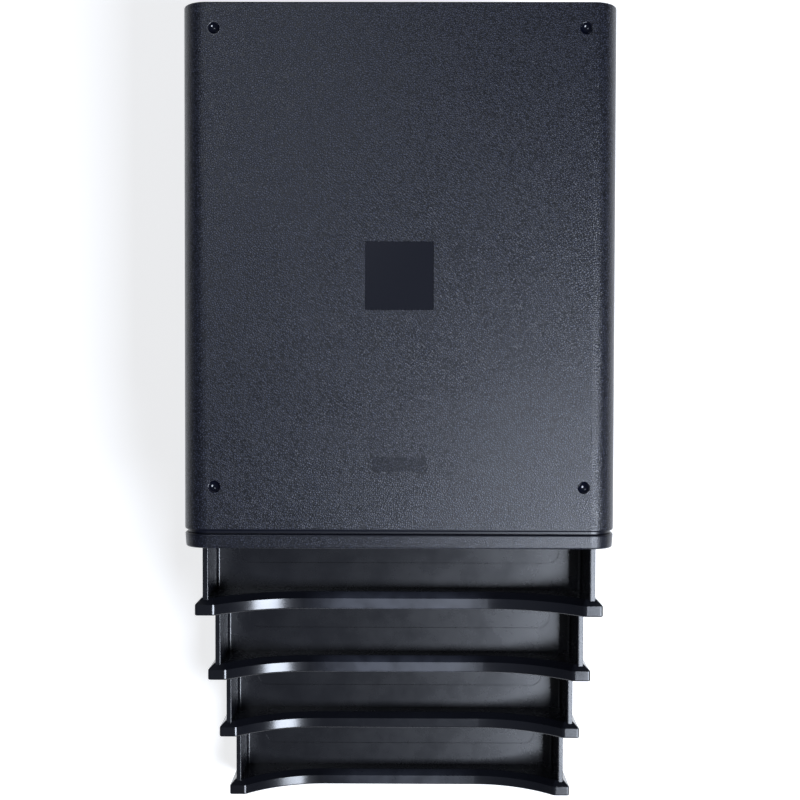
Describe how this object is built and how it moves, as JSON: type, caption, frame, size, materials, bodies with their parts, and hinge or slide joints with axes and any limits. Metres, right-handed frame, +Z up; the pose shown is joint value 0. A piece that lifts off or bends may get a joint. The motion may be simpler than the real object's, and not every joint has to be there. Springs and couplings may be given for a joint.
{
  "type": "desktop drawer cabinet",
  "caption": "Desktop cabinet with open-topped letter drawers that slide out under a rounded casing, each with a scooped front and finger ears.",
  "frame": {"origin": "on the surface it stands on, under the middle of the casing", "axes": "+Z up, -Y towards the front where the drawers come out, +X to the right seen from the front"},
  "size_m": [0.2894, 0.5867, 0.219],
  "materials": {
    "casing_plastic": "black moulded polystyrene, fine leather grain",
    "panel_plastic": "black moulded polystyrene, plain satin",
    "runner_plastic": "black moulded polystyrene, smooth satin",
    "drawer_plastic": "black moulded polystyrene, glossy",
    "foot_rubber": "matte"
  },
  "bodies": {
    "cabinet": {"casing_shell": "casing_plastic", "base_panel": "panel_plastic", "back_panel": "panel_plastic", "front_frame": "casing_plastic", "foot_front_left": "foot_rubber", "foot_rear_left": "foot_rubber", "foot_front_right": "foot_rubber", "foot_rear_right": "foot_rubber", "runner_1_left": "runner_plastic", "runner_1_right": "runner_plastic", "runner_2_left": "runner_plastic", "runner_2_right": "runner_plastic", "runner_3_left": "runner_plastic", "runner_3_right": "runner_plastic", "runner_4_left": "runner_plastic", "runner_4_right": "runner_plastic"},
    "drawer_1": {"drawer_1_tray": "drawer_plastic", "drawer_1_front": "drawer_plastic"},
    "drawer_2": {"drawer_2_tray": "drawer_plastic", "drawer_2_front": "drawer_plastic"},
    "drawer_3": {"drawer_3_tray": "drawer_plastic", "drawer_3_front": "drawer_plastic"},
    "drawer_4": {"drawer_4_tray": "drawer_plastic", "drawer_4_front": "drawer_plastic"}
  },
  "joints": [
    {"name": "drawer_1_slide", "type": "slide", "parent": "cabinet", "child": "drawer_1", "axis": [0, -1, 0], "range_m": [-0.0475, 0.2025]},
    {"name": "drawer_2_slide", "type": "slide", "parent": "cabinet", "child": "drawer_2", "axis": [0, -1, 0], "range_m": [-0.105, 0.145]},
    {"name": "drawer_3_slide", "type": "slide", "parent": "cabinet", "child": "drawer_3", "axis": [0, -1, 0], "range_m": [-0.1626, 0.0874]},
    {"name": "drawer_4_slide", "type": "slide", "parent": "cabinet", "child": "drawer_4", "axis": [0, -1, 0], "range_m": [-0.2261, 0.0239]}
  ]
}
